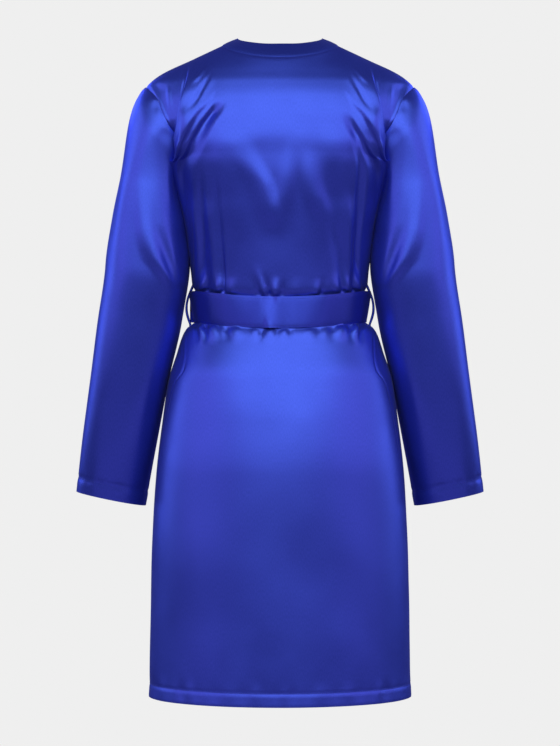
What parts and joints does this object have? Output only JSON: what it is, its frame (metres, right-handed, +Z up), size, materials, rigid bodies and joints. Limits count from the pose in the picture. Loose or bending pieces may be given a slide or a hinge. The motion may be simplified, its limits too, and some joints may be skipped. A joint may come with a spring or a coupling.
{
  "type": "dressing gown",
  "caption": "Short wrap dressing gown in plain satin, filled out as worn, with long set-in sleeves, a neckband, a tied sash belt and side belt loops.",
  "frame": {"origin": "middle of the neck opening, 3 mm below the neck ends of the shoulder seams, where the wearer's neck passes and the shoulders hold the gown up", "axes": "+Z up along the body; the back of the gown faces -Y and its wrapped front +Y; +X is the wearer's right"},
  "size_m": [0.6182, 0.2702, 0.9854],
  "materials": {
    "satin": "royal blue polyester satin, soft sheen",
    "satin_band": "royal blue polyester satin, folded double",
    "satin_belt": "royal blue polyester satin, folded double and edge-stitched",
    "satin_cord": "royal blue satin rouleau"
  },
  "bodies": {
    "root": {"back": "satin", "front_left": "satin", "front_right": "satin", "sleeve_left": "satin", "sleeve_right": "satin", "neckband_back": "satin_band", "neckband_left": "satin_band", "neckband_right": "satin_band", "belt": "satin_belt", "belt_knot": "satin_belt", "belt_tail_left": "satin_belt", "belt_tail_right": "satin_belt", "belt_loop_left": "satin_cord", "belt_loop_right": "satin_cord"}
  },
  "joints": []
}
